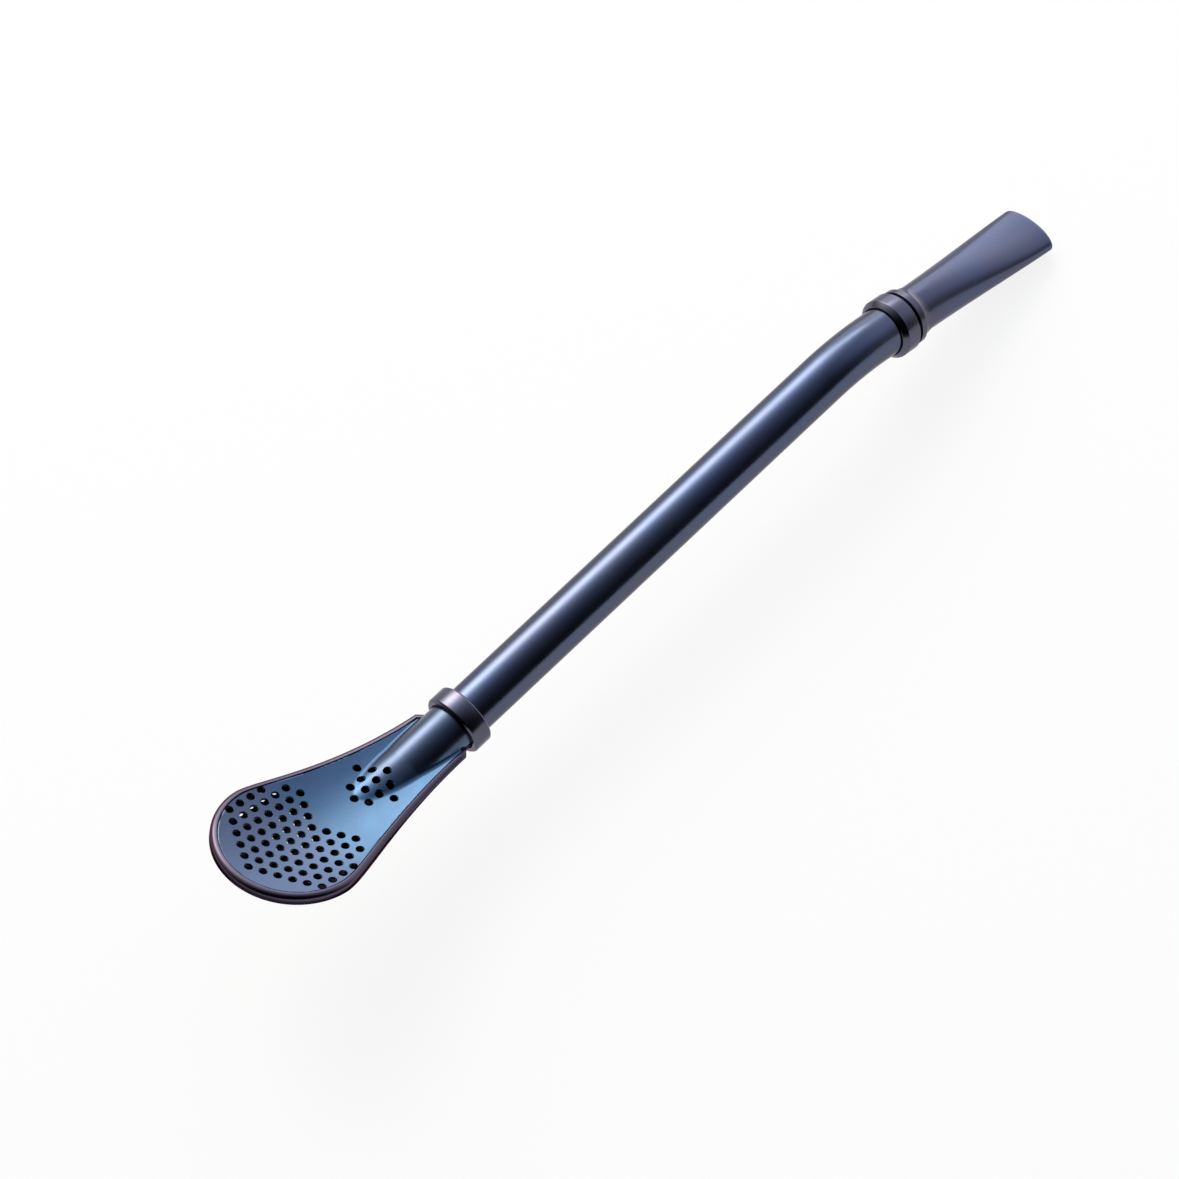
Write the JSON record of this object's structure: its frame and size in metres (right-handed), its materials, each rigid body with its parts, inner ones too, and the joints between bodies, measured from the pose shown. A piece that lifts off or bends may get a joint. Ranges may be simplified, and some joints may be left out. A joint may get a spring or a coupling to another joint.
{
  "type": "filter straw",
  "caption": "Bent metal drinking straw with a perforated spoon filter, turned collars and a flattened mouthpiece.",
  "frame": {"origin": "on the ground, under the middle of the overall length", "axes": "+X along the straight part of the stem from the spoon to the mouth, +Z to the side of the filter plate, +Y completes the right-handed frame"},
  "size_m": [0.1758, 0.024, 0.0286],
  "materials": {
    "coated_stem": "polished stainless steel under a blue-black coating",
    "coated_collar": "finely turned steel under the same coating, plum grey",
    "coated_mouthpiece": "satin steel under the same coating, slate blue",
    "coated_plate": "pressed sheet under the same coating, brighter blue",
    "coated_shell": "pressed sheet under the same coating, dark plum on the folded rim"
  },
  "bodies": {
    "root": {"stem_tube": "coated_stem", "lower_collar": "coated_collar", "upper_collar": "coated_collar", "mouthpiece_ring": "coated_collar", "mouthpiece": "coated_mouthpiece", "filter_plate": "coated_plate", "bottom_shell": "coated_shell"}
  },
  "joints": []
}
